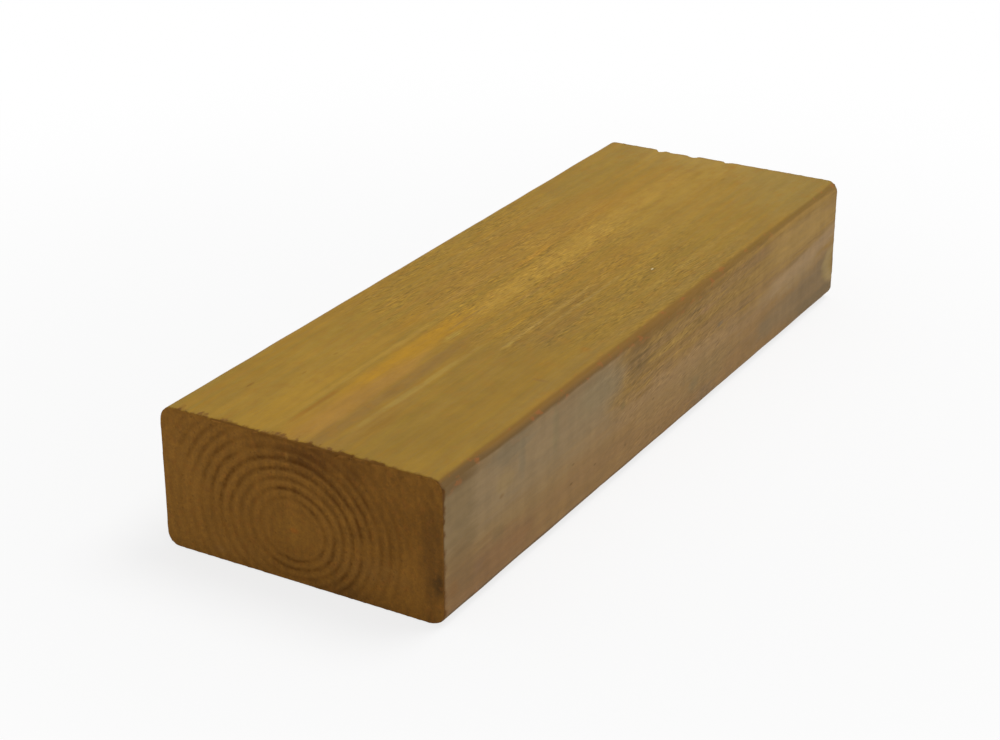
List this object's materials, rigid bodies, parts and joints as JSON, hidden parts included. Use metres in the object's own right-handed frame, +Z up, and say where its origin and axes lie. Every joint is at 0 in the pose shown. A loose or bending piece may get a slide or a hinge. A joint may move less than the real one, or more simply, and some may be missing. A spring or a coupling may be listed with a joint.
{
  "type": "wooden batten",
  "caption": "Short length of planed, preservative-treated softwood batten with rounded long edges and square sawn ends, lying flat on a wide face.",
  "frame": {"origin": "middle of the wide face that the batten lies on", "axes": "+X along the grain, from the sawn end that the picture shows towards the other end; +Y across the wide face, away from the long edge that the picture shows; +Z up through the thickness"},
  "size_m": [0.275, 0.095, 0.045],
  "materials": {
    "timber": "planed faces, sawn ends, preservative treated, matt"
  },
  "bodies": {
    "root": {"batten": "timber"}
  },
  "joints": []
}
